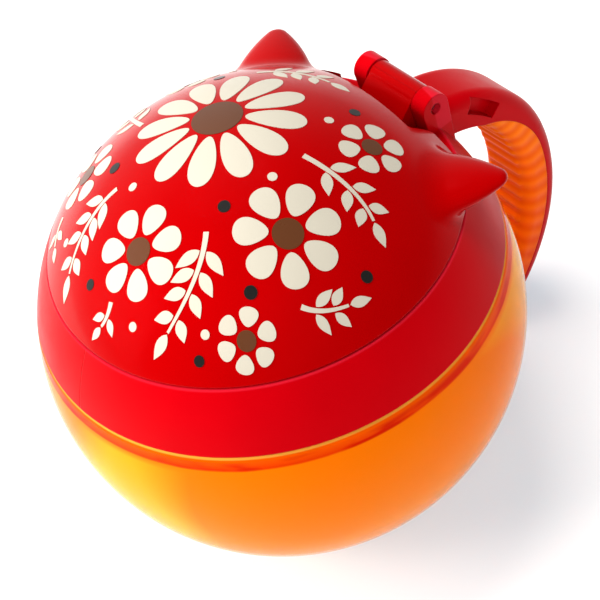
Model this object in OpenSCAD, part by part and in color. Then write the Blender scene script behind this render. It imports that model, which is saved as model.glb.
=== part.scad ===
// Toddler snack container: a ball-shaped cup with a screw-on collar, a soft flap guard,
// a hinged dome lid with two ears and an open hook handle.
// The origin is the centre of the flat base, +Z is up and +Y points to the hinge and handle.

/* [Ball] */
// Radius of the ball that the bowl, the collar and the lid share
ball_r = 52.5; // [51:0.5:54]
// Height of the ball's centre above the base
ball_z = 45; // [44:0.5:46]
// Wall of the bowl and of the collar
wall = 2.2; // [2:0.1:2.4]
// Height of the bowl's rim above the ball's centre
rim_rise = 15.2; // [14.8:0.2:16]
// Height of the lid's edge above the ball's centre
lid_rise = 28.6; // [28.4:0.1:29]

/* [Collar and guard] */
// Radius of the mouth that a hand goes through
mouth_r = 35; // [34.5:0.5:35]
// Thickness of the deck round the mouth
deck_t = 3; // [2.6:0.2:3]
// Depth of the neck that reaches down inside the bowl
neck_h = 5.5; // [4.5:0.5:6]
// Thickness of the soft guard
guard_t = 1.4; // [1.2:0.2:1.6]
// Number of soft flaps
flap_count = 6; // [6]
// Width of the slits between the flaps
slit_w = 0.8; // [0.6:0.1:1]

/* [Lid] */
// Wall of the lid's dome
dome_t = 2; // [1.8:0.1:2.2]
// Thickness of the lid's inner plate
plate_t = 1.5; // [1.4:0.1:1.6]
// Half width of the pocket round the hinge
pocket_x = 14.2; // [14:0.1:14.6]
// Distance of the pocket's front wall from the cup's axis
pocket_y = 33; // [32.5:0.5:34]
// Distance of the lid's flat rear face from the cup's axis
rear_y = 38.3; // [38:0.1:38.6]
// Largest half width of an ear
ear_r = 10; // [9.5:0.1:10.5]
// Thickness of an ear against its width
ear_flat = 0.42; // [0.4:0.01:0.46]
// Radius of an ear's rounded tip
ear_tip_r = 2.9; // [2.6:0.1:3.2]
// Radius of the arc along an ear's sides
ear_arc_r = 33; // [31:1:36]
// Turn of each ear away from the hinge, in degrees
ear_turn = 45.3; // [44:0.1:46]
// Reach of the ear tips from the cup's axis
ear_reach = 52.9; // [52:0.1:53.5]

/* [Hinge] */
// Distance of the hinge axis from the cup's axis
hinge_y = 42.6; // [42.4:0.1:42.8]
// Height of the hinge axis above the lid's edge
hinge_rise = 5.6; // [5.4:0.1:5.8]
// Radius of the round knuckles
knuckle_r = 3.4; // [3.3:0.1:3.5]
// Half length of the whole hinge
hinge_x = 11; // [10.8:0.1:11.2]
// Half length of the middle barrel
barrel_x = 6.8; // [6.6:0.1:7]
// Radius of the hinge pin
pin_r = 1.25; // [1.2:0.05:1.3]

/* [Handle] */
// Outer radius of the handle's curve
arm_r = 45.1; // [44.6:0.1:45.6]
// Distance of the curve's centre from the cup's axis
arm_y = 30.1; // [29.8:0.1:30.4]
// Height of the curve's centre above the base
arm_z = 37.5; // [37:0.1:38]
// Half width of the handle
arm_x = 7.5; // [7:0.1:8]
// Thickness of the handle, shell and grip together
arm_t = 9.4; // [9.2:0.1:9.6]
// Thickness of the handle's red shell
skin_t = 3.5; // [3.3:0.1:3.6]
// Outer radius of the tighter curve at the handle's root
root_r = 34.1; // [33.6:0.1:34.6]

/* [Hidden] */
$fn = 96;

bowl_colour = "orange";
red_colour = "firebrick";
gloss_colour = "crimson";
soft_colour = "gainsboro";
pin_colour = "silver";

// A little more than nothing, so that a cut runs past the face it cuts
past = 1;
// Larger than any piece
big = 200;
// Gap at each seam between two pieces that come apart
seam_gap = 0.2;
// Clearance round a soft ring or a flap's root
soft_gap = 0.3;

rim_z = ball_z + rim_rise;
lid_z = ball_z + lid_rise;
collar_z = rim_z + seam_gap;
deck_z = lid_z - deck_t;
guard_z = deck_z - guard_t;
retainer_h = 2.2;
retainer_z = guard_z - retainer_h;
seat_r = ball_at(deck_z, ball_r - wall) - 1.2;
retainer_in = 35.5;

floor_t = 2.6;
band_h = 5;
band_r = ball_at(rim_z, ball_r) - 2.4;

neck_out = band_r - 1.1;
neck_in = neck_out - 2.6;
neck_flange = 2;
groove_r = neck_out - 1;
groove_h = 2.6;
groove_z = rim_z - 3.4;

lid_lo = lid_z + seam_gap;
plate_r = ball_at(lid_lo, ball_r) - 2.85;
plate_top = lid_lo + plate_t;
plug_out = 34.2;
plug_in = 32.4;
plug_h = 2.6;
lid_seal_h = 1.2;
lid_seal_out = 34.7;
pocket_wall = 1.8;
rear_x = 20;

hinge_z = lid_z + hinge_rise;
knuckle_lo = barrel_x + 0.25;
knuckle_bore = pin_r + 0.05;
barrel_r = 3.1;
barrel_bore = pin_r + 0.08;
pin_half = hinge_x - 1.5;

flap_apothem = 30;
flap_in = 1.5;
half_step = 180 / flap_count;

arm_in = arm_r - arm_t;
seam_r = arm_r - skin_t;
arm_round = 3;
// Angle up the handle where the tighter root curve takes over
root_turn = 15.5;
// Inner curve of the root, nearer the ball's centre than the handle's own
root_in = 28.9;
root_in_shift = 10.3;
// Angle up the handle past which the root lies inside the ball
root_end = 85;
// Angle over which the root runs on inside the shell
root_overlap = 2;
// How far a piece sits inside the one that it is merged with
tuck = 0.02;
// Angles up the handle where it ends and where the grip ends
arm_low = -48;
grip_low = -49;
grip_high = 70;
// Angle up the handle where the grip's outer face turns in to its tip, and the radius of that turn
grip_turn = 8;
grip_top_r = 22.5;
root_y = arm_y + (arm_r - root_r) * cos(root_turn);
root_z = arm_z + (arm_r - root_r) * sin(root_turn);
tongue_x = 5;
tongue_lo = 67.2;
tongue_hi = 70.2;
tongue_y = 44;
notch_depth = 2.5;
notch_from = 40;
notch_to = 53;
notch_r1 = arm_in + 2;
notch_r2 = arm_in + 5.6;
rib_r = 1.6;
rib_pitch = 5.5;
rib_high = 35;
rib_x = 4.2;
// Distance of a rib's centre line from the curve's centre, which leaves it half a millimetre proud
rib_at = arm_in + rib_r - 0.5;

// Radius of a ball of radius r, at height z above the base
function ball_at(z, r) = sqrt(r * r - (z - ball_z) * (z - ball_z));

// Half of the ball's section between two heights, to be turned round the axis
module ball_section(r, z1, z2) {
    intersection() {
        translate([0, ball_z]) circle(r = r);
        translate([0, z1]) square([ball_r + past, z2 - z1]);
    }
}

module ring_section(r1, r2, z1, z2) {
    translate([r1, z1]) square([r2 - r1, z2 - z1]);
}

module ring(r1, r2, z1, z2) {
    rotate_extrude() ring_section(r1, r2, z1, z2);
}

// A rod along X at a place in the YZ plane
module rod(r, x1, x2, y, z) {
    translate([x1, y, z]) rotate([0, 90, 0]) cylinder(r = r, h = x2 - x1);
}

// An outline drawn in the YZ plane, given depth along X
module side_plate(x1, x2) {
    translate([x1, 0, 0]) rotate([90, 0, 90]) linear_extrude(x2 - x1) children();
}

// What is drawn beside a radius of the handle's curve, swept up the curve between two angles
module sweep_arm(from, to) {
    translate([0, arm_y, arm_z]) rotate([0, 90, 0]) rotate([0, 0, 90 + from])
        rotate_extrude(angle = to - from) children();
}

module bowl() {
    color(bowl_colour, 0.6)
        rotate_extrude() difference() {
            ball_section(ball_r, 0, rim_z);
            ball_section(ball_r - wall, floor_t, rim_z - band_h);
            translate([0, rim_z - band_h - past]) square([band_r, band_h + 2 * past]);
        }
}

module collar_shell() {
    rotate_extrude() difference() {
        union() {
            difference() {
                ball_section(ball_r, collar_z, lid_z);
                ball_section(ball_r - wall, collar_z + neck_flange, retainer_z - past);
                translate([0, collar_z - past]) square([neck_in, neck_flange + 2 * past]);
            }
            ring_section(neck_in, neck_out, rim_z - neck_h, collar_z + past);
        }
        translate([0, retainer_z - 2 * past]) square([seat_r, deck_z - retainer_z + 2 * past]);
        translate([0, deck_z - past]) square([mouth_r, deck_t + 2 * past]);
        ring_section(groove_r, ball_r, groove_z, groove_z + groove_h);
    }
}

// One outer knuckle, with its foot down the collar's rear
module knuckle() {
    side_plate(knuckle_lo, hinge_x) {
        translate([hinge_y, hinge_z]) circle(r = knuckle_r);
        polygon([[hinge_y - knuckle_r, hinge_z], [hinge_y - 2.7, lid_z - past], [hinge_y + 2, lid_z - 6],
                 [hinge_y + knuckle_r, lid_z - 6.6], [hinge_y + knuckle_r, hinge_z]]);
    }
}

module collar() {
    color(red_colour) difference() {
        union() {
            collar_shell();
            knuckle();
            mirror([1, 0, 0]) knuckle();
        }
        rod(knuckle_bore, -big, big, hinge_y, hinge_z);
        translate([-tongue_x, tongue_y, tongue_lo]) cube([2 * tongue_x, big, tongue_hi - tongue_lo]);
    }
}

module neck_seal() {
    color(soft_colour)
        ring(groove_r + soft_gap, band_r - soft_gap, groove_z + seam_gap, groove_z + groove_h - seam_gap);
}

// Section of the handle: a bar with round corners, drawn outward from the curve's centre
module arm_section(r, t, x) {
    for (side = [-1, 1], at = [r - arm_round, r - t + arm_round])
        translate([at, side * (x - arm_round)]) circle(r = arm_round);
    translate([r - t + arm_round, -x]) square([t - 2 * arm_round, 2 * x]);
    translate([r - t, -(x - arm_round)]) square([t, 2 * (x - arm_round)]);
}

module right_half() {
    intersection() {
        children();
        translate([0, -big]) square([big, 2 * big]);
    }
}

// A wide wheel with a rounded rim, which gives the root its outer curve
module root_wheel() {
    wheel_r = root_r - tuck;
    translate([0, root_y, root_z]) rotate([0, 90, 0])
        rotate_extrude() right_half() arm_section(wheel_r, 2 * wheel_r, arm_x - tuck);
}

// Wedge of the YZ plane seen from the handle's centre, between two angles
module arm_wedge(from, to) {
    side_plate(-big, big) translate([arm_y, arm_z])
        polygon([[0, 0], [big * cos(from), big * sin(from)], [big * cos(to), big * sin(to)]]);
}

module arm_root() {
    difference() {
        intersection() {
            root_wheel();
            arm_wedge(root_turn - root_overlap, root_end);
        }
        intersection() {
            rod(arm_in, -big, big, arm_y, arm_z);
            rod(root_in, -big, big, arm_y + root_in_shift, arm_z);
        }
        translate([0, 0, ball_z]) sphere(r = ball_r + seam_gap / 2);
        for (side = [-1, 1]) translate([side * (knuckle_lo + big / 2 - seam_gap / 2), hinge_y, lid_z])
            cube([big, 2 * (knuckle_r + seam_gap / 2), big], center = true);
        grip_space();
        for (side = [-1, 1]) translate([side * (arm_x + big / 2 - notch_depth), 0, 0])
            sweep_arm(notch_from, notch_to) translate([notch_r1, -big / 2]) square([notch_r2 - notch_r1, big]);
    }
}

// The handle's curve between two angles, shell and grip in one, with its rounded lower end
module arm_form(to) {
    sweep_arm(arm_low, to) arm_section(arm_r, arm_t, arm_x);
    arm_end();
}

// The handle's lower end, rounded over from its inner face to its outer one
module arm_end() {
    mid = arm_r - arm_t / 2;
    translate([0, arm_y + mid * cos(arm_low), arm_z + mid * sin(arm_low)]) rotate([0, 90, 0])
        rotate_extrude() right_half() arm_section(arm_t / 2 - tuck, arm_t - 2 * tuck, arm_x - tuck);
}

// Tongue that holds the handle in the collar's slot
module tongue() {
    translate([-tongue_x, tongue_y, tongue_lo])
        cube([2 * tongue_x, ball_at(tongue_lo, ball_r) + past - tongue_y, tongue_hi - tongue_lo]);
}

module handle_arm() {
    color(red_colour) {
        difference() {
            arm_form(root_turn);
            grip_space();
        }
        arm_root();
        tongue();
    }
}

// Everything inside the red shell's curve, over the stretch that the grip fills, and the tighter curve at its top
module grip_space() {
    intersection() {
        rod(seam_r, -big / 2, big / 2, arm_y, arm_z);
        arm_wedge(grip_low, grip_turn);
    }
    intersection() {
        rod(grip_top_r, -big / 2, big / 2, arm_y + (seam_r - grip_top_r) * cos(grip_turn),
            arm_z + (seam_r - grip_top_r) * sin(grip_turn));
        arm_wedge(grip_turn - root_overlap, grip_high);
    }
}

module handle_grip() {
    color("darkorange") {
        intersection() {
            arm_form(root_end);
            grip_space();
        }
        for (turn = [grip_low + rib_pitch : rib_pitch : rib_high])
            translate([0, arm_y + rib_at * cos(turn), arm_z + rib_at * sin(turn)]) rib();
    }
}

// A soft rib across the grip's inner face, with round ends
module rib() {
    rod(rib_r, -rib_x, rib_x, 0, 0);
    for (side = [-1, 1]) translate([side * rib_x, 0, 0]) rotate([0, 90, 0]) sphere(r = rib_r);
}

// Hexagon with its flats at the given distance from the centre
module guard_opening(apothem) {
    circle(r = apothem / cos(half_step), $fn = flap_count);
}

module guard_ring() {
    color(soft_colour) translate([0, 0, guard_z]) linear_extrude(guard_t) difference() {
        circle(r = seat_r, $fn = 96);
        guard_opening(flap_apothem + soft_gap);
    }
}

// One soft flap, a flat wedge with a round root edge
module guard_flap(index) {
    lead = guard_t / 2;
    base = (flap_apothem - lead) * tan(half_step) - slit_w;
    tip = flap_in * tan(half_step);
    color(soft_colour) rotate([0, 0, (index - 1) * 2 * half_step]) {
        translate([0, 0, guard_z]) linear_extrude(guard_t)
            polygon([[-base, flap_apothem - lead], [base, flap_apothem - lead], [tip, flap_in + slit_w],
                     [-tip, flap_in + slit_w]]);
        rod(lead, -base, base, flap_apothem - lead, guard_z + lead);
    }
}

module guard_retainer() {
    color(red_colour) ring(retainer_in, seat_r, retainer_z, guard_z);
}

// An ear as a solid of revolution: a rounded bullet standing on its base
module ear_bullet() {
    $fn = 48;
    off = ear_arc_r - ear_r;
    tip_z = sqrt(pow(ear_arc_r - ear_tip_r, 2) - off * off);
    join_z = tip_z * ear_arc_r / (ear_arc_r - ear_tip_r);
    rotate_extrude() {
        intersection() {
            translate([-off, 0]) circle(r = ear_arc_r);
            square([ear_r, join_z]);
        }
        intersection() {
            translate([0, tip_z]) circle(r = ear_tip_r);
            square([ear_tip_r, tip_z + ear_tip_r]);
        }
    }
}

ear_len = ear_tip_r + sqrt(pow(ear_arc_r - ear_tip_r, 2) - pow(ear_arc_r - ear_r, 2));
// Place of the ear tips round the cup's axis, in degrees
ear_tip_turn = 43.4;
// Height of the ear tips above the lid's edge, and how far an ear leans down from level
ear_rise = 5.2;
ear_lean = -5;

module ear() {
    rotate([0, 0, -ear_tip_turn]) translate([0, ear_reach, lid_z + ear_rise])
        rotate([-90 - ear_lean, 0, ear_tip_turn - ear_turn]) translate([0, 0, -ear_len])
            hull() scale([1, ear_flat, 1]) ear_bullet();
}

// The space behind the dome: a pocket round the hinge, and a flat cut from ear to ear
module hinge_pocket(wall_t, z) {
    translate([-pocket_x - wall_t, pocket_y - wall_t, z]) cube([2 * (pocket_x + wall_t), big, big]);
    translate([-rear_x - wall_t, rear_y - wall_t, z]) cube([2 * (rear_x + wall_t), big, big]);
}

module lid_dome() {
    color(gloss_colour) difference() {
        union() {
            rotate_extrude() difference() {
                ball_section(ball_r, lid_lo, ball_z + ball_r + past);
                ball_section(ball_r - dome_t, plate_top, ball_z + ball_r + past);
                translate([0, lid_lo - past]) square([plate_r, plate_t + past]);
            }
            intersection() {
                translate([0, 0, ball_z]) sphere(r = ball_r);
                hinge_pocket(pocket_wall, plate_top);
            }
            intersection() {
                union() {
                    ear();
                    mirror([1, 0, 0]) ear();
                }
                difference() {
                    translate([0, 0, lid_lo]) cylinder(r = big, h = big);
                    translate([0, 0, ball_z]) sphere(r = ball_r - dome_t / 2);
                }
            }
        }
        hinge_pocket(0, lid_lo - past);
    }
}

module lid_base() {
    color(red_colour) difference() {
        union() {
            difference() {
                translate([0, 0, lid_lo]) cylinder(r = plate_r, h = plate_t);
                translate([-big, rear_y, lid_z]) cube([2 * big, big, big]);
            }
            ring(plug_in, plug_out, lid_lo - plug_h, lid_lo);
            rod(barrel_r, -barrel_x, barrel_x, hinge_y, hinge_z);
            side_plate(-barrel_x, barrel_x)
                polygon([[pocket_y + 0.5, lid_lo], [pocket_y + 0.5, plate_top],
                         [hinge_y - 1, hinge_z + 3.14], [hinge_y, hinge_z], [hinge_y - 1.2, lid_lo + 0.6],
                         [hinge_y - 3, lid_lo]]);
        }
        rod(barrel_bore, -big, big, hinge_y, hinge_z);
    }
}

module lid_seal() {
    color(soft_colour) ring(plug_out, lid_seal_out, lid_lo - 1.9, lid_lo - 1.9 + lid_seal_h);
}

module hinge_pin() {
    color(pin_colour) rod(pin_r, -pin_half, pin_half, hinge_y, hinge_z);
}

bowl();
collar();
neck_seal();
handle_arm();
handle_grip();
guard_ring();
for (index = [1 : flap_count])
    guard_flap(index);
guard_retainer();
lid_dome();
lid_base();
lid_seal();
hinge_pin();
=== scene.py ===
"""Toddler snack container: looks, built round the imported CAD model. Lengths are in millimetres, placed by MM."""

import math

import bmesh
import bpy
import numpy as np
from mathutils import Matrix, Vector
from mathutils.geometry import delaunay_2d_cdt


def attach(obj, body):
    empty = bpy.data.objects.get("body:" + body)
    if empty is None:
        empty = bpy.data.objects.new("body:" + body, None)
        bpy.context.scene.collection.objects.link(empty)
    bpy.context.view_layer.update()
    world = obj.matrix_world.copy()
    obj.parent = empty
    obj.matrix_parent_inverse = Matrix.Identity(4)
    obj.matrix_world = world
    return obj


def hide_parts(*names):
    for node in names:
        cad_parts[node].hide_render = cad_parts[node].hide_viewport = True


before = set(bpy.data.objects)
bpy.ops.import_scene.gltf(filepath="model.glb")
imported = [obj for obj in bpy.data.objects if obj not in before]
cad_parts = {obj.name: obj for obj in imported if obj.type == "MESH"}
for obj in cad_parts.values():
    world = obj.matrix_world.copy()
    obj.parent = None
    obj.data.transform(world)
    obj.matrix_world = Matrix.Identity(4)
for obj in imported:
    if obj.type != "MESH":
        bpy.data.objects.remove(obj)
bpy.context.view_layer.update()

MM = 0.001

# The CAD model's own values
BALL_R, BALL_Z, WALL = 52.5, 45.0, 2.2
RIM_Z, LID_Z, GAP = 60.2, 73.6, 0.2
COLLAR_Z, LID_LO = RIM_Z + GAP, LID_Z + GAP
NECK_H, BAND_H, FLOOR_T = 5.5, 5.0, 2.6
DOME_T, PLATE_T, POCKET_WALL = 2.0, 1.5, 1.8
POCKET_X, POCKET_Y, REAR_X, REAR_Y = 14.2, 33.0, 20.0, 38.3
EAR_R, EAR_FLAT, EAR_TIP_R, EAR_ARC_R = 10.0, 0.42, 2.9, 33.0
EAR_TURN, EAR_TIP_TURN, EAR_REACH, EAR_Z, EAR_LEAN = 45.3, 43.4, 52.9, 78.8, -5.0
ARM_Y, ARM_Z, GRIP_LOW, RIB_PITCH = 30.1, 37.5, -49.0, 5.5

# Details that are in the scene alone
LID_EDGE_R, EAR_BLEND = 0.3, 2.4
LUG_COUNT, LUG_H, LUG_OUT, LUG_TURN, LUG_ROOT, LUG_FOOT = 4, 1.3, 0.75, 38, 0.25, 0.15
FILM_T, FILM_ROOT, FILM_STEP, FILM_CLEAR = 0.1, 0.15, 1.3, 0.5
CUT_PAST = 2.0


def ball_at(z, r):
    """Radius, at a height, of a ball of radius r about the cup's centre."""
    return math.sqrt(r * r - (z - BALL_Z) ** 2)


BAND_R = ball_at(RIM_Z, BALL_R) - 2.4
NECK_OUT = BAND_R - 1.1
PLATE_R, PLATE_TOP = ball_at(LID_LO, BALL_R) - 2.85, LID_LO + PLATE_T


# Camera: the photograph's, fitted to the ball, the lid's edge, the ears and the hinge

AZIMUTH, ELEVATION, ROLL = 63.36, 47.28, 17.92
DISTANCE = 0.42


def camera_axes(azimuth, elevation, roll):
    a, e, r = (math.radians(v) for v in (azimuth, elevation, roll))
    back = Vector((math.sin(a) * math.cos(e), -math.cos(a) * math.cos(e), math.sin(e)))
    right = Vector((math.cos(a), math.sin(a), 0))
    up = back.cross(right)
    return right * math.cos(r) - up * math.sin(r), right * math.sin(r) + up * math.cos(r), back


view_axes = camera_axes(AZIMUTH, ELEVATION, ROLL)
camera = bpy.data.objects.new("camera", bpy.data.cameras.new("camera"))
camera.data.lens = 116.75
camera.data.shift_x, camera.data.shift_y = 0.0298, 0.0193
camera.data.clip_start, camera.data.clip_end = 0.02, 20
camera.matrix_world = Matrix.Translation(
    Vector((0, 0, BALL_Z * MM)) + view_axes[2] * DISTANCE) @ Matrix(view_axes).transposed().to_4x4()
bpy.context.collection.objects.link(camera)
bpy.context.scene.camera = camera
bpy.context.scene.view_settings.view_transform = "Standard"
bpy.context.scene.view_settings.look = "None"


# Materials. Noise scales are in features per metre, bump depths and edge radii in metres.

SKIN, MOTTLE, GLOSS = 2600, 38, 160


class Nodes:
    """A material's node tree, with short calls for the nodes used here."""

    def __init__(self, name, colour, roughness, **sockets):
        self.material = bpy.data.materials.new(name)
        self.material.use_nodes = True
        self.tree = self.material.node_tree
        self.shader = next(n for n in self.tree.nodes if n.type == "BSDF_PRINCIPLED")
        self.shader.inputs["Base Color"].default_value = (*colour, 1)
        self.shader.inputs["Roughness"].default_value = roughness
        for key, value in sockets.items():
            self.shader.inputs[key.replace("_", " ")].default_value = value
        self.place = self.add("ShaderNodeTexCoord").outputs["Object"]

    def add(self, kind, **settings):
        node = self.tree.nodes.new(kind)
        for key, value in settings.items():
            setattr(node, key, value)
        return node

    def link(self, a, b):
        self.tree.links.new(a, b)

    def moved(self, **settings):
        """The object's own coordinates, scaled or shifted."""
        node = self.add("ShaderNodeMapping")
        for key, value in settings.items():
            node.inputs[key].default_value = value
        self.link(self.place, node.inputs["Vector"])
        return node.outputs["Vector"]

    def xyz(self):
        node = self.add("ShaderNodeSeparateXYZ")
        self.link(self.place, node.inputs[0])
        return node.outputs

    def noise(self, scale, detail=2.0, rough=0.5, place=None):
        node = self.add("ShaderNodeTexNoise")
        for key, number in (("Scale", scale), ("Detail", detail), ("Roughness", rough)):
            node.inputs[key].default_value = number
        self.link(place or self.place, node.inputs["Vector"])
        return node.outputs["Fac"]

    def skin(self, grain=SKIN):
        return self.noise(grain, 3, 0.55)

    def ramp(self, value, stops):
        node = self.add("ShaderNodeValToRGB")
        ramp = node.color_ramp
        while len(ramp.elements) < len(stops):
            ramp.elements.new(0.5)
        for element, (at, colour) in zip(ramp.elements, stops):
            element.position, element.color = at, (*colour, 1)
        self.link(value, node.inputs["Fac"])
        return node.outputs["Color"]

    def mottled(self, colour, spread):
        """A colour that wanders slowly between a little darker and a little lighter."""
        stops = [(0.3, shade(colour, 1 - spread)), (0.7, shade(colour, 1 + spread))]
        return self.ramp(self.noise(MOTTLE, 3), stops)

    def span(self, value, lo, hi, out_lo, out_hi):
        node = self.add("ShaderNodeMapRange")
        for key, number in zip(("From Min", "From Max", "To Min", "To Max"), (lo, hi, out_lo, out_hi)):
            node.inputs[key].default_value = number
        self.link(value, node.inputs["Value"])
        return node.outputs["Result"]

    def math(self, operation, *values):
        node = self.add("ShaderNodeMath", operation=operation)
        for socket, value in zip(node.inputs, values):
            if isinstance(value, (int, float)):
                socket.default_value = value
            else:
                self.link(value, socket)
        return node.outputs[0]

    def times(self, a, b):
        return self.math("MULTIPLY", a, b)

    def blend(self, factor, a, b):
        """Colour a, a socket, turned into colour b, a fixed one, where the factor is 1."""
        node = self.add("ShaderNodeMix", data_type="RGBA")
        self.link(factor, node.inputs["Factor"])
        self.link(a, node.inputs[6])
        node.inputs[7].default_value = (*b, 1)
        return node.outputs[2]

    def colour(self, out):
        self.link(out, self.shader.inputs["Base Color"])

    def gloss(self, lo, hi):
        """Roughness that wanders between two values."""
        self.link(self.span(self.noise(GLOSS, 4, 0.6), 0.3, 0.7, lo, hi), self.shader.inputs["Roughness"])

    def bump(self, height, depth, edge=0.0):
        node = self.add("ShaderNodeBump")
        node.inputs["Distance"].default_value = depth
        self.link(height, node.inputs["Height"])
        if edge:
            bevel = self.add("ShaderNodeBevel", samples=6)
            bevel.inputs["Radius"].default_value = edge
            self.link(bevel.outputs["Normal"], node.inputs["Normal"])
        self.link(node.outputs["Normal"], self.shader.inputs["Normal"])


def shade(colour, factor):
    return tuple(min(1.0, c * factor) for c in colour)


def plastic(name, colour, roughness, spread=0.06, grain=SKIN, depth=6e-6, edge=0.0, gloss=None, **sockets):
    """Moulded plastic: slow colour and gloss variation, with a fine skin in the bump."""
    n = Nodes(name, colour, roughness, **sockets)
    n.colour(n.mottled(colour, spread))
    n.gloss(*(gloss or (roughness * 0.88, roughness * 1.14)))
    n.bump(n.skin(grain), depth, edge)
    return n.material


def collar_plastic():
    """Satin red with the fine parting line of its mould down the front as a groove in the bump, darkened in colour as
    painted shade in the groove, and a painted highlight: paler along the edge round the lid.
    """
    colour, depth = (0.43, 0.0, 0.0024), 7e-6
    line_width, line_depth = 0.16 * MM, 1.1e-4
    n = Nodes("collar_satin_red", colour, 0.34, Specular_Tint=(1, 0.05, 0.08, 1), Specular_IOR_Level=0.06)
    x, y, z = n.xyz()
    # The mould's parting line, down the front only: a groove in the bump, and darker in colour as painted shade in that
    # groove.
    behind = n.math("GREATER_THAN", y, 0.0)
    line = n.span(n.math("ADD", n.math("ABSOLUTE", x), behind), line_width * 0.4, line_width, 1, 0)
    lined = n.blend(n.times(line, 0.6), n.mottled(colour, 0.06), shade(colour, 0.6))
    # Painted highlight: the colour turns paler along the collar's top edge round the lid.
    rim = ball_at(LID_Z, BALL_R) * MM
    reach = n.math("SQRT", n.math("ADD", n.times(x, x), n.times(y, y)))
    edge = n.times(n.span(reach, rim - 0.6 * MM, rim - 0.3 * MM, 0, 0.5),
                   n.span(z, (LID_Z - 0.4) * MM, (LID_Z - 0.1) * MM, 0, 1))
    n.colour(n.blend(edge, lined, (0.60, 0.015, 0.035)))
    n.gloss(0.30, 0.39)
    n.bump(n.math("MULTIPLY_ADD", line, -line_depth / depth, n.skin()), depth, 3e-4)
    return n.material


def grip_rubber():
    """Soft orange, paler upwards as painted light from above, with the ribs' swell running round onto the sides in the
    bump and as bands of painted shade in the colour.
    """
    n = Nodes("grip_soft_orange", (0.9, 0.12, 0.0), 0.5, Specular_Tint=(1, 0.3, 0.05, 1), Specular_IOR_Level=0.12,
              Subsurface_Weight=0.15, Subsurface_Scale=0.003)
    _, y, z = n.xyz()
    turn = n.math("ARCTAN2", n.math("SUBTRACT", z, ARM_Z * MM), n.math("SUBTRACT", y, ARM_Y * MM))
    waves = 2 * math.pi / math.radians(RIB_PITCH)
    # The ribs' swell: it shapes the ribs in the bump, and in the colour it gives bands of painted shade between the
    # ribs.
    swell = n.math("COSINE", n.math("MULTIPLY_ADD", turn, waves, -math.radians(GRIP_LOW) * waves))
    # Tone: height gives paler tops as painted light from above, and the swell adds bands of painted shade between the
    # ribs.
    tone = n.math("ADD", n.span(z, 0, 75 * MM, 0, 0.74), n.span(swell, -1, 1, 0, 0.26))
    n.colour(n.ramp(tone, [(0.15, (0.72, 0.06, 0.0)), (0.5, (0.82, 0.105, 0.0)), (0.95, (0.95, 0.21, 0.004))]))
    n.gloss(0.44, 0.57)
    n.bump(n.math("MULTIPLY_ADD", swell, 8.0, n.skin()), 1.2e-5, 4e-4)
    return n.material


def bowl_plastic():
    """Clear orange with painted light and shade: paler towards the base as painted light from below, deeper towards the
    rim as painted shade under the collar, slow pale flows of painted glow, deep painted shade where the collar's neck
    is behind it, and a painted highlight on the bead on top.
    """
    # Colour by height: paler at the base as painted light from the floor below, deeper towards the rim as painted shade
    # under the collar, a dark red band as painted shade where the collar's neck stands behind the wall, and the last,
    # pale stop is a painted highlight along the bead.
    base_to_rim = [(0.0, (1.0, 0.42, 0.0)), (0.35, (1.0, 0.33, 0.0)), (0.7, (1.0, 0.26, 0.0)),
                   (0.946, (1.0, 0.24, 0.0)), (0.951, (0.80, 0.03, 0.0)), (0.963, (0.88, 0.07, 0.0)),
                   (0.9885, (0.95, 0.13, 0.0)), (0.991, (1.0, 0.52, 0.06))]
    # pale is the colour of the painted glow; deep is the colour of the painted shade behind the neck.
    pale, deep = (1.0, 0.54, 0.005), (0.62, 0.0, 0.0)
    painted_glow_end, neck_low, neck_full, neck_fade, neck_top = (h * MM for h in (55.5, 56.8, 57.1, 58.4, 59.4))
    n = Nodes("bowl_clear_orange", (1.0, 0.27, 0.0), 0.09, Specular_Tint=(1, 0.4, 0.0, 1), IOR=1.22,
              Specular_IOR_Level=0.05, Transmission_Weight=0.5)
    z = n.xyz()[2]
    body = n.ramp(n.span(z, 0, RIM_Z * MM, 0, 1), base_to_rim)
    # Painted glow: slow pale patches standing in for light through the clear wall, laid out by noise and kept below the
    # neck.
    painted_glow = n.span(n.noise(17, 1.2, 0.4, n.moved(Location=(0.1, 0.9, 0.5))), 0.48, 0.575, 0, 0.75)
    tone = n.blend(n.times(painted_glow, n.span(z, painted_glow_end, neck_low, 1, 0)), body, pale)
    # Painted shade: deep streaks where the collar's neck stands behind the wall.
    streak = n.span(n.noise(75, 2, 0.5, n.moved(Scale=(1, 1, 5))), 0.46, 0.62, 0, 0.8)
    neck = n.times(n.span(z, neck_low, neck_full, 0, 1), n.span(z, neck_fade, neck_top, 1, 0))
    n.colour(n.blend(n.times(streak, neck), tone, deep))
    n.gloss(0.045, 0.07)
    n.bump(n.skin(), 3e-6, 3e-4)
    return n.material


SILICONE = plastic("silicone_soft_grey", (0.43, 0.43, 0.42), 0.45, 0.03, depth=8e-6, edge=2e-4,
                   Subsurface_Weight=0.2, Subsurface_Scale=0.002)
STEEL = plastic("pin_steel", (0.55, 0.55, 0.57), 0.28, 0.05, grain=5200, depth=3e-6, Metallic=1.0)
CREAM = plastic("print_cream", (0.47, 0.43, 0.345), 0.4, 0.03, depth=2e-6)
BROWN = plastic("print_brown", (0.085, 0.026, 0.008), 0.3, 0.1, depth=2e-6)
BLACK = plastic("print_black", (0.008, 0.008, 0.007), 0.3, 0.1, depth=2e-6)
RED_LID = plastic("lid_gloss_red", (0.33, 0.0, 0.0004), 0.15, 0.05, depth=3e-6, edge=3e-4, gloss=(0.13, 0.17),
                  Specular_Tint=(1, 0.05, 0.06, 1), Specular_IOR_Level=0.2)
RED_COLLAR = collar_plastic()
ORANGE_GRIP = grip_rubber()
ORANGE_BOWL = bowl_plastic()


# Pieces

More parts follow.
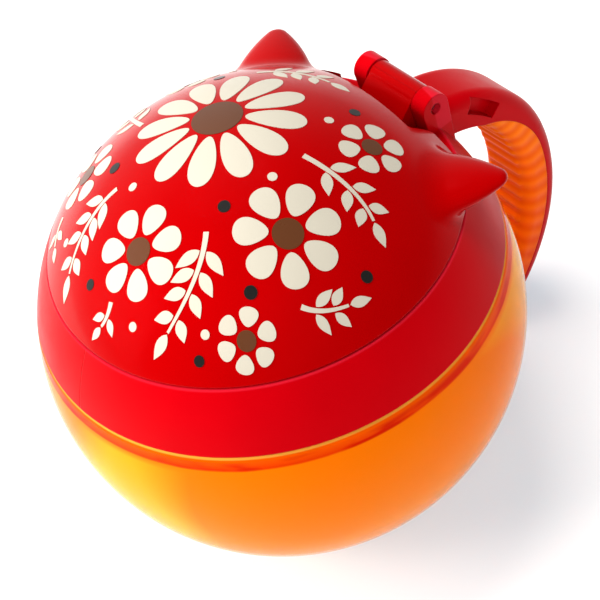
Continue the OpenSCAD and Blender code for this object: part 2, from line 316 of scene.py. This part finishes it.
def mesh_object(name, verts, faces):
    """A mesh object from millimetres, with consistent outward normals."""
    mesh = bpy.data.meshes.new(name)
    mesh.from_pydata([tuple(MM * c for c in v) for v in verts], [], [tuple(int(i) for i in f) for f in faces])
    bm = bmesh.new()
    bm.from_mesh(mesh)
    bmesh.ops.remove_doubles(bm, verts=bm.verts, dist=1e-7)
    bmesh.ops.recalc_face_normals(bm, faces=bm.faces)
    bm.to_mesh(mesh)
    bm.free()
    obj = bpy.data.objects.new(name, mesh)
    bpy.context.collection.objects.link(obj)
    return obj


def smooth_by_angle(obj, angle):
    mesh = obj.data
    mesh.shade_smooth()
    bm = bmesh.new()
    bm.from_mesh(mesh)
    for edge in bm.edges:
        edge.smooth = len(edge.link_faces) != 2 or edge.calc_face_angle(0) < angle
    bm.to_mesh(mesh)
    bm.free()


def piece(name, verts, faces, material, body, slot, smooth=math.radians(40)):
    """A piece of the object, riding on a body."""
    obj = mesh_object(name, verts, faces)
    obj.data.materials.append(material)
    smooth_by_angle(obj, smooth)
    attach(obj, body)
    return obj


def ball_arc(r, z1, z2, count):
    """Profile points (radius, height) on a ball of radius r, between two heights."""
    a1, a2 = (math.degrees(math.asin((z - BALL_Z) / r)) for z in (z1, z2))
    turns = [math.radians(a) for a in np.linspace(a1, a2, count)]
    return [(r * math.cos(a), BALL_Z + r * math.sin(a)) for a in turns]


def rounded(points, radius, steps=4):
    """Rounds the corners of a closed profile that turn sharply."""
    out, n = [], len(points)
    p = [np.array(q, float) for q in points]
    for i in range(n):
        a, b, c = p[i - 1], p[i], p[(i + 1) % n]
        u, w = a - b, c - b
        lu, lw = np.hypot(*u), np.hypot(*w)
        turn = math.pi - math.acos(max(-1, min(1, u @ w / (lu * lw))))
        if turn < math.radians(25) or b[0] < 1e-6:
            out.append(b)
            continue
        setback = min(radius * math.tan(turn / 2), lu * 0.45, lw * 0.45)
        r = setback / math.tan(turn / 2)
        start, end = b + u / lu * setback, b + w / lw * setback
        mid = (u / lu + w / lw)
        centre = b + mid / np.hypot(*mid) * math.hypot(r, setback)
        for k in range(steps + 1):
            t = k / steps
            q = (1 - t) * start + t * end - centre
            out.append(centre + q / np.hypot(*q) * r)
    return out


def lathe(profile, count):
    """A closed profile of (radius, height) turned round the ball's axis. Points on the axis become poles."""
    verts, faces, rings = [], [], []
    turns = np.linspace(0, 2 * math.pi, count, endpoint=False)
    for r, z in profile:
        if r < 1e-6:
            rings.append([len(verts)] * count)
            verts.append((0, 0, z))
        else:
            rings.append(list(range(len(verts), len(verts) + count)))
            verts += [(r * math.cos(t), r * math.sin(t), z) for t in turns]
    for i in range(len(rings)):
        a, b = rings[i - 1], rings[i]
        for k in range(count):
            quad = [a[k], a[(k + 1) % count], b[(k + 1) % count], b[k]]
            quad = [q for j, q in enumerate(quad) if q != quad[j - 1]]
            if len(quad) >= 3:
                faces.append(quad)
    return verts, faces


def bowl_profile():
    outer = ball_arc(BALL_R, 0, RIM_Z - 1.2, 64)
    top_r = ball_at(RIM_Z, BALL_R)
    rim = [(ball_at(RIM_Z - 1.0, BALL_R) + 0.02, RIM_Z - 1.0), (top_r - 0.25, RIM_Z - 0.25), (top_r - 0.7, RIM_Z),
           (BAND_R + 0.5, RIM_Z), (BAND_R, RIM_Z - 0.5), (BAND_R, RIM_Z - BAND_H)]
    inner = ball_arc(BALL_R - WALL, RIM_Z - BAND_H - 0.02, FLOOR_T, 56)
    return outer + rim + inner + [(0, FLOOR_T), (0, 0)]


bowl = piece("bowl_wall", *lathe(bowl_profile(), 256), ORANGE_BOWL, "bowl", "bowl")
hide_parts("bowl")


# Lid: a dome grown smoothly into its two ears, hollowed, with a pocket cut round the hinge

def ear_frame():
    """The ear's tip, and its axes: along it, across it and through it."""
    turn, lean, tip = math.radians(EAR_TURN), math.radians(EAR_LEAN), math.radians(EAR_TIP_TURN)
    out = np.array([math.sin(turn) * math.cos(lean), math.cos(turn) * math.cos(lean), -math.sin(lean)])
    side = np.array([math.cos(turn), -math.sin(turn), 0.0])
    return np.array([EAR_REACH * math.sin(tip), EAR_REACH * math.cos(tip), EAR_Z]), out, side, np.cross(side, out)


def ear_field(p):
    """Rough signed distance to the ear on the +X side."""
    tip, out, side, up = ear_frame()
    off = EAR_ARC_R - EAR_R
    tip_h = math.sqrt((EAR_ARC_R - EAR_TIP_R) ** 2 - off ** 2)
    length = tip_h + EAR_TIP_R
    q = p - tip
    h = length + q @ out
    s, u = q @ side, (q @ up) / EAR_FLAT
    rad = np.maximum(np.hypot(s, u), 1e-6)
    at_tip = h * off > tip_h * (rad + off)
    arc_d = np.hypot(h, rad + off) - EAR_ARC_R
    tip_d = np.hypot(h - tip_h, rad) - EAR_TIP_R
    d = np.where(at_tip, tip_d, np.where(h > 0, arc_d, np.maximum(rad - EAR_R, -h)))
    stretch = np.sqrt((s ** 2 + (u / EAR_FLAT) ** 2) / rad ** 2)
    return d / stretch


def smooth_union(a, b, k):
    h = np.clip(0.5 + 0.5 * (b - a) / k, 0, 1)
    return b * (1 - h) + a * h - k * h * (1 - h)


def lid_field(p):
    ball = np.linalg.norm(p - np.array([0, 0, BALL_Z]), axis=-1) - BALL_R
    mirrored = p * np.array([-1, 1, 1])
    return smooth_union(ball, np.minimum(ear_field(p), ear_field(mirrored)), EAR_BLEND)


def lid_reach(origin, rays):
    """Distance from the origin to the lid's outer surface along each ray."""
    nearest, furthest, stride, halvings = 20, 58, 0.5, 22
    steps = np.arange(nearest, furthest, stride)
    outside = np.stack([lid_field(origin + rays * t) > 0 for t in steps])
    last = len(steps) - 1 - np.argmax(~outside[::-1], axis=0)
    lo, hi = steps[last], steps[np.minimum(last + 1, len(steps) - 1)]
    for _ in range(halvings):
        mid = (lo + hi) / 2
        out = lid_field(origin + rays * mid[:, None]) > 0
        lo, hi = np.where(out, lo, mid), np.where(out, mid, hi)
    return lo


def lid_solid():
    """The lid's filled outer form, as a grid of rays from a point on its axis, dense over the ears."""
    over_ears = [s * a for s in (-1, 1) for a in np.arange(27, 62, 0.4)]
    turns = np.concatenate([over_ears, np.arange(-27, 27, 1.35), np.arange(62.4, 298, 1.6)])
    turns = np.unique(np.round(turns % 360, 3))
    rises = np.concatenate([np.arange(0, 12, 0.3), np.arange(12, 89.5, 1.25)])
    origin = np.array([0, 0, LID_LO + LID_EDGE_R])
    t, e = np.meshgrid(np.radians(turns), np.radians(rises))
    rays = np.stack([np.sin(t) * np.cos(e), np.cos(t) * np.cos(e), np.sin(e)], -1).reshape(-1, 3)
    grid = (origin + rays * lid_reach(origin, rays)[:, None]).reshape(len(rises), len(turns), 3)
    rim = np.hypot(grid[0, :, 0], grid[0, :, 1])
    rows = []
    for a in np.radians((90, 66, 44, 22)):
        r = rim - LID_EDGE_R * (1 - math.cos(a))
        z = LID_LO + LID_EDGE_R - LID_EDGE_R * math.sin(a)
        rows.append(np.stack([grid[0, :, 0] / rim * r, grid[0, :, 1] / rim * r, np.full(len(turns), z)], -1))
    rows += list(grid)
    verts = [tuple(p) for row in rows for p in row]
    n = len(turns)
    faces = [(i * n + k, i * n + (k + 1) % n, (i + 1) * n + (k + 1) % n, (i + 1) * n + k)
             for i in range(len(rows) - 1) for k in range(n)]
    low, top = len(verts), len(verts) + 1
    verts += [(0, 0, LID_LO), (0, 0, BALL_Z + BALL_R)]
    last = (len(rows) - 1) * n
    faces += [(low, (k + 1) % n, k) for k in range(n)]
    faces += [(top, last + k, last + (k + 1) % n) for k in range(n)]
    return verts, faces


def pocket_outline(grow, corner):
    """Plan of the space behind the lid: a pocket round the hinge that opens into a flat rear cut."""
    far, off_axis = 80, 200
    half = [(REAR_X + grow, far), (REAR_X + grow, REAR_Y - grow), (POCKET_X + grow, REAR_Y - grow),
            (POCKET_X + grow, POCKET_Y - grow)]
    plan = [(-x, y) for x, y in half] + half[::-1]
    return [(x - off_axis, y) for x, y in rounded([(x + off_axis, y) for x, y in plan], corner, 5)]


def prism(outline, z1, z2):
    n = len(outline)
    verts = [(x, y, z) for z in (z1, z2) for x, y in outline]
    sides = [(k, (k + 1) % n, n + (k + 1) % n, n + k) for k in range(n)]
    return verts, [tuple(range(n)), tuple(range(n, 2 * n))] + sides


def cut(obj, tool):
    """Cuts a helper object out of a piece, and removes the helper."""
    mod = obj.modifiers.new("cut", "BOOLEAN")
    mod.operation, mod.solver, mod.object = "DIFFERENCE", "EXACT", tool
    depsgraph = bpy.context.evaluated_depsgraph_get()
    mesh = bpy.data.meshes.new_from_object(obj.evaluated_get(depsgraph))
    obj.modifiers.clear()
    old = obj.data
    obj.data = mesh
    bpy.data.meshes.remove(old)
    bpy.data.objects.remove(tool)


dome = piece("lid_shell", *lid_solid(), RED_LID, "lid", "lid")
dome_top, above = BALL_Z + BALL_R - DOME_T, 120
inside = [(0, LID_LO - CUT_PAST), (PLATE_R, LID_LO - CUT_PAST), (PLATE_R, PLATE_TOP)]
inside += ball_arc(BALL_R - DOME_T, PLATE_TOP, dome_top - 0.01, 40) + [(0, dome_top)]
hollow = mesh_object("hollow", *lathe(inside, 160))
cut(hollow, mesh_object("keep", *prism(pocket_outline(POCKET_WALL, 1.2), PLATE_TOP, above)))
cut(dome, hollow)
cut(dome, mesh_object("pocket", *prism(pocket_outline(0, 0.8), LID_LO - 5, above)))
smooth_by_angle(dome, math.radians(34))
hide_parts("lid_dome")


# CAD nodes that keep their shape

def dress(name, material):
    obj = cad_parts[name]
    obj.data.materials.clear()
    obj.data.materials.append(material)
    for polygon in obj.data.polygons:
        polygon.material_index = 0


flaps = [f"guard_flap_{i}" for i in range(1, 7)]
for material, names in ((RED_COLLAR, ("collar", "handle_arm", "guard_retainer")), (RED_LID, ("lid_base",)),
                        (ORANGE_GRIP, ("handle_grip",)), (STEEL, ("hinge_pin",)),
                        (SILICONE, ("neck_seal", "lid_seal", "guard_ring", *flaps))):
    for name in names:
        dress(name, material)


# Small lugs that lock the collar's neck in the bowl, hidden while the cup is closed

def lugs():
    """Low ridges round the foot of the neck, each tapering to its ends."""
    low = COLLAR_Z - NECK_H + LUG_FOOT
    verts, faces = [], []
    for k in range(LUG_COUNT):
        first = len(verts)
        turns = np.linspace(-LUG_TURN / 2, LUG_TURN / 2, 25)
        for turn in turns:
            a = math.radians(turn + 360 * (k + 0.5) / LUG_COUNT)
            out = LUG_OUT * min(1, (1 - abs(turn) / (LUG_TURN / 2)) * 5 + 0.15)
            section = ((-LUG_ROOT, 0), (out * 0.6, 0.1), (out, 0.4), (out, 0.9), (out * 0.6, 1.2), (-LUG_ROOT, LUG_H))
            for deep, rise in section:
                r = NECK_OUT + deep
                verts.append((r * math.cos(a), r * math.sin(a), low + rise))
        for i in range(len(turns) - 1):
            for j in range(6):
                a, b = first + i * 6 + j, first + i * 6 + (j + 1) % 6
                faces.append((a, b, b + 6, a + 6))
        faces += [tuple(first + j for j in range(6)), tuple(len(verts) - 6 + j for j in range(6))]
    return verts, faces


piece("neck_lugs", *lugs(), RED_COLLAR, "collar", "collar")


# Print: a generic flower pattern, laid on the dome as thin printed films

def on_dome(u, v, height):
    """A point u, v millimetres from the dome's top along its surface."""
    s = math.hypot(u, v)
    a = s / BALL_R
    k = math.sin(a) / s if s > 1e-9 else 0
    r = BALL_R + height
    return (r * k * u, r * k * v, BALL_Z + r * math.cos(a))


def grid_inside(outline):
    """Points of an even grid inside an outline, clear of its edge."""
    lo, hi = outline.min(0), outline.max(0)
    gx, gy = np.meshgrid(*(np.arange(lo[i] + FILM_CLEAR, hi[i], FILM_STEP) for i in (0, 1)))
    following = np.roll(outline, -1, 0)
    keep = []
    for g in np.stack([gx.ravel(), gy.ravel()], 1):
        a, b = outline - g, following - g
        crossing = (a[:, 1] > 0) != (b[:, 1] > 0)
        dy = np.where(crossing, b[:, 1] - a[:, 1], 1)
        crossings = (crossing & (a[:, 0] - a[:, 1] * (b[:, 0] - a[:, 0]) / dy > 0)).sum()
        if crossings % 2 and np.hypot(*a.T).min() > FILM_CLEAR:
            keep.append(tuple(g))
    return keep


def film(name, loops, material):
    """Closed thin shapes that follow the dome, one for each outline."""
    verts, faces = [], []
    for loop in loops:
        outline = np.array(loop, float)
        n = len(outline)
        flat = [Vector(q) for q in (*outline, *grid_inside(outline))]
        plan, _, tris, *_ = delaunay_2d_cdt(flat, [(i, (i + 1) % n) for i in range(n)], [], 1, 1e-5)
        base, m = len(verts), len(plan)
        verts += [on_dome(q.x, q.y, height) for height in (FILM_T, -FILM_ROOT) for q in plan]
        edges = {}
        for t in tris:
            faces.append(tuple(base + i for i in t))
            faces.append(tuple(base + m + i for i in reversed(t)))
            edges.update(dict.fromkeys((t[i], t[(i + 1) % len(t)]) for i in range(len(t))))
        faces += [(base + a, base + m + a, base + m + b, base + b) for a, b in edges if (b, a) not in edges]
    return piece(name, verts, faces, material, "lid", "lid", math.radians(60))


def placed(u, v, angle, points):
    """Points (along, across) turned by an angle and moved to u, v."""
    c, s = math.cos(angle), math.sin(angle)
    return [(u + c * a - s * b, v + s * a + c * b) for a, b in points]


def ring_of(u, v, r, count=40):
    return [(u + r * math.cos(t), v + r * math.sin(t)) for t in np.linspace(0, 2 * math.pi, count, endpoint=False)]


def petal(u, v, angle, near, far, width):
    """A petal that widens away from u, v."""
    points = []
    for t in np.linspace(0, 2 * math.pi, 44, endpoint=False):
        along = (near + far) / 2 - (far - near) / 2 * math.cos(t)
        points.append((along, width / 2 * math.sin(t) * (0.56 + 0.5 * (along - near) / (far - near))))
    return placed(u, v, angle, points)


def flower(u, v, reach, eye, count, turn):
    width = 2 * math.pi * (eye + 0.62 * (reach - eye)) / count * 0.94
    petals = [petal(u, v, turn + 2 * math.pi * k / count, eye + 0.6, reach, width) for k in range(count)]
    return petals, ring_of(u, v, eye)


def leaf(u, v, angle, length, width):
    side = [(length * t, width / 2 * math.sin(math.pi * t ** 0.8)) for t in np.linspace(0, 1, 14)]
    return placed(u, v, angle, side + [(a, -b) for a, b in side[-2:0:-1]])


def sprig(points, pairs, length, width, line=1.0):
    """A curved stem with pairs of leaves and one at its tip."""
    p = np.array(points, float)
    count = 30
    t = np.linspace(0, 1, count)[:, None]
    mid = (1 - t) ** 2 * p[0] + 2 * t * (1 - t) * p[1] + t ** 2 * p[2]
    tangent = np.gradient(mid, axis=0)
    tangent /= np.linalg.norm(tangent, axis=1)[:, None]
    normal = np.stack([-tangent[:, 1], tangent[:, 0]], 1)
    half = line / 2 * np.linspace(1.15, 0.6, count)[:, None]
    loops = [[tuple(q) for q in mid + normal * half] + [tuple(q) for q in (mid - normal * half)[::-1]]]
    for k in range(pairs):
        i = int(round((k + 0.9) / (pairs + 0.6) * (count - 1)))
        heading = math.atan2(tangent[i, 1], tangent[i, 0])
        for side in (-1, 1):
            start = mid[i] + normal[i] * side * (line / 2 + 0.25)
            loops.append(leaf(*start, heading + side * 0.85, length * (1 - 0.3 * k / pairs), width))
    heading = math.atan2(tangent[-1, 1], tangent[-1, 0])
    loops.append(leaf(*(mid[-1] + tangent[-1] * 0.4), heading, length, width))
    return loops


# Flowers: place, reach, radius of the eye, petals, turn
FLOWERS = ((-7, 3, 18.5, 5.4, 12, 0.15), (25, -6, 11.0, 3.2, 7, 0.3), (3, -28.5, 10.0, 2.9, 7, 0.9),
           (-30, -21, 8.6, 2.6, 6, 0.5), (19, 22, 7.2, 2.2, 6, 0.2), (-34, 13, 7.0, 2.1, 6, 0.8),
           (33.5, -27, 6.6, 2.1, 6, 0.1))
# Sprigs: start, bend and end of the stem, pairs of leaves, a leaf's length and width
SPRIGS = (([(13, -17), (19, -24), (19, -37)], 4, 6.0, 2.6), ([(-13, -21), (-17, -29), (-14, -41)], 4, 6.0, 2.6),
          ([(-24, -6), (-33, -5), (-42, -1)], 3, 5.4, 2.4), ([(14, 8), (26, 12), (33, 10)], 3, 5.4, 2.4),
          ([(-18, 21), (-14, 28), (-4, 30)], 3, 5.2, 2.3), ([(37, -14), (41, -12), (43, -6)], 2, 5.0, 2.2),
          ([(-30, -31.5), (-30, -35), (-27, -38)], 1, 4.2, 2.0), ([(3, -40), (4, -43), (3, -45.5)], 1, 3.8, 1.9))
# Spots: place and radius
BLACK_SPOTS = ((12, -11, 1.3), (-19, -17.5, 1.4), (9, 26, 1.2), (28, -19.5, 1.4), (-24, 15, 1.3), (-5, -40, 1.2),
               (-40, -13, 1.2), (28, -37, 1.2), (41, 1, 1.3))
CREAM_SPOTS = ((-9, -19, 1.0), (9, 19, 1.0), (-28, 21, 1.0), (-21, -36, 1.0), (26, -32, 1.0), (-42, 6, 1.0),
               (14, 0, 1.0), (11, -41, 1.0))

cream, brown = [], []
for spec in FLOWERS:
    petals, eye = flower(*spec)
    cream += petals
    brown.append(eye)
for spec in SPRIGS:
    cream += sprig(*spec)
cream += [ring_of(*spot, 20) for spot in CREAM_SPOTS]
film("print_petals", cream, CREAM)
film("print_centres", brown, BROWN)
film("print_dots", [ring_of(*spot, 24) for spot in BLACK_SPOTS], BLACK)


# Floor and light, in metres. No gloss shows the lights' outlines.

FLOOR_HALF, FLOOR_CELLS = 6.0, 12
LIGHT_AIM, LIGHT_SIZE = Vector((0, 0, 0.05)), 0.9


def add_light(name, kind, power, matrix, **settings):
    light = bpy.data.lights.new(name, kind)
    light.energy = power
    for key, value in settings.items():
        setattr(light, key, value)
    obj = bpy.data.objects.new(name, light)
    obj.matrix_world = matrix
    obj.visible_glossy = False
    bpy.context.collection.objects.link(obj)


def box_light(name, place, power):
    """A soft box aimed at the cup."""
    place = Vector(place)
    facing = (place - LIGHT_AIM).to_track_quat("Z", "Y").to_matrix().to_4x4()
    add_light(name, "AREA", power, Matrix.Translation(place) @ facing,
              shape="RECTANGLE", size=LIGHT_SIZE, size_y=LIGHT_SIZE)


row = FLOOR_CELLS + 1
ticks = [-FLOOR_HALF + 2 * FLOOR_HALF * i / FLOOR_CELLS for i in range(row)]
floor_mesh = bpy.data.meshes.new("floor")
floor_mesh.from_pydata([(x, y, 0) for y in ticks for x in ticks], [],
                       [(j * row + i, j * row + i + 1, (j + 1) * row + i + 1, (j + 1) * row + i)
                        for j in range(FLOOR_CELLS) for i in range(FLOOR_CELLS)])
floor = bpy.data.objects.new("floor", floor_mesh)
bpy.context.collection.objects.link(floor)
n = Nodes("floor_paper", (0.58, 0.49, 0.44), 0.8, Emission_Color=(0.58, 0.85, 1, 1), Emission_Strength=0.50)
n.colour(n.ramp(n.noise(3, 2), [(0.3, (0.575, 0.485, 0.435)), (0.7, (0.585, 0.495, 0.445))]))
n.bump(n.noise(900, 2), 2e-5)
floor_mesh.materials.append(n.material)

# The room is bright to the left and at the horizon. Grades: axis, then from, to, brightness at each
ROOM_GRADES = (("X", (-0.76, 0.04, 0.7, 0.12)), ("Z", (0.06, 0.22, 0.9, 0.12)))

world = bpy.data.worlds.new("studio")
bpy.context.scene.world = world
world.use_nodes = True
tree = world.node_tree
background = next(x for x in tree.nodes if x.type == "BACKGROUND")
coord, split = tree.nodes.new("ShaderNodeTexCoord"), tree.nodes.new("ShaderNodeSeparateXYZ")
tree.links.new(coord.outputs["Generated"], split.inputs[0])
lighter = tree.nodes.new("ShaderNodeMath")
lighter.operation = "MAXIMUM"
for socket, (axis, spans) in enumerate(ROOM_GRADES):
    grade = tree.nodes.new("ShaderNodeMapRange")
    for key, number in zip(("From Min", "From Max", "To Min", "To Max"), spans):
        grade.inputs[key].default_value = number
    tree.links.new(split.outputs[axis], grade.inputs["Value"])
    tree.links.new(grade.outputs["Result"], lighter.inputs[socket])
tree.links.new(lighter.outputs[0], background.inputs["Color"])
background.inputs["Strength"].default_value = 1.0

add_light("overhead", "SUN", 2.95, Vector((-0.75, 0.2, 1.9)).to_track_quat("Z", "Y").to_matrix().to_4x4(),
          angle=math.radians(34))
box_light("key", (-0.68, -1.25, 0.75), 43)
box_light("front", (1.0, -0.5, 0.9), 12)
